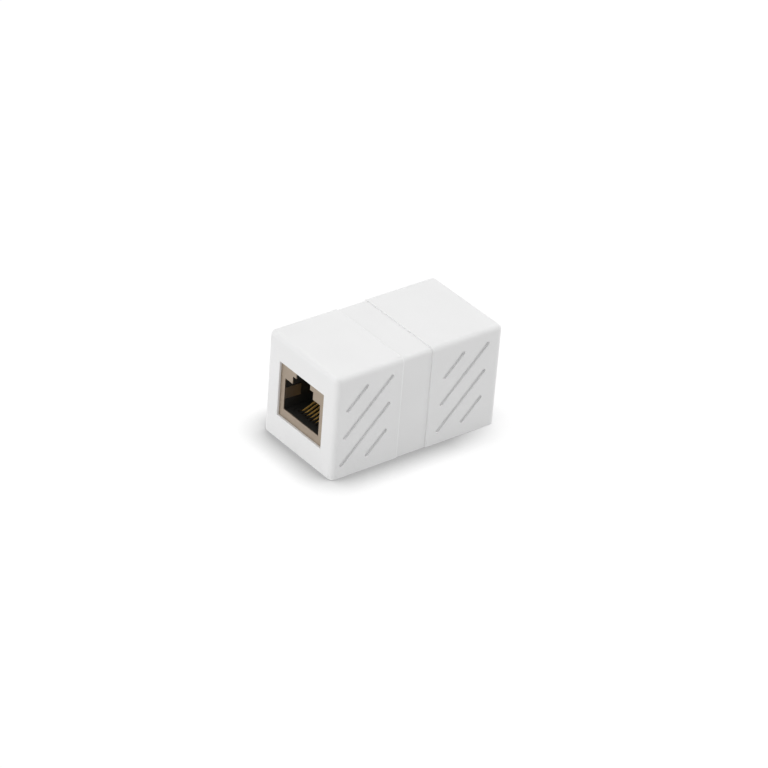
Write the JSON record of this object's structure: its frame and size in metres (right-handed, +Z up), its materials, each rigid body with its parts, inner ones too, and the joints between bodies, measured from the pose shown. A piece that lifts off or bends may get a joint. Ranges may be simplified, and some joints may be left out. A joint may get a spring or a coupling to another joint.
{
  "type": "rj45 inline coupler",
  "caption": "Shielded inline coupler: a white two-part box with diagonal grip grooves and a modular socket at each end, joined inside by a small circuit board.",
  "frame": {"origin": "middle of the foot, the flat face that the coupler rests on", "axes": "+X along the coupler, from the front socket to the rear socket; +Z up, towards the latch side of the sockets"},
  "size_m": [0.0426, 0.0236, 0.024],
  "materials": {
    "white_shell": "fine satin moulded ABS",
    "nickel_shield": "dull nickel-plated sheet",
    "black_moulding": "black glass-filled moulding",
    "green_board": "green solder mask",
    "gold_contact": "gold plating"
  },
  "bodies": {
    "root": {"front_shell": "white_shell", "rear_shell": "white_shell", "circuit_board": "green_board", "front_jack_shield": "nickel_shield", "front_jack_housing": "black_moulding", "front_contact_carrier": "black_moulding", "rear_jack_shield": "nickel_shield", "rear_jack_housing": "black_moulding", "rear_contact_carrier": "black_moulding", "front_contact_1": "gold_contact", "front_contact_2": "gold_contact", "front_contact_3": "gold_contact", "front_contact_4": "gold_contact", "front_contact_5": "gold_contact", "front_contact_6": "gold_contact", "front_contact_7": "gold_contact", "front_contact_8": "gold_contact", "rear_contact_1": "gold_contact", "rear_contact_2": "gold_contact", "rear_contact_3": "gold_contact", "rear_contact_4": "gold_contact", "rear_contact_5": "gold_contact", "rear_contact_6": "gold_contact", "rear_contact_7": "gold_contact", "rear_contact_8": "gold_contact"}
  },
  "joints": []
}
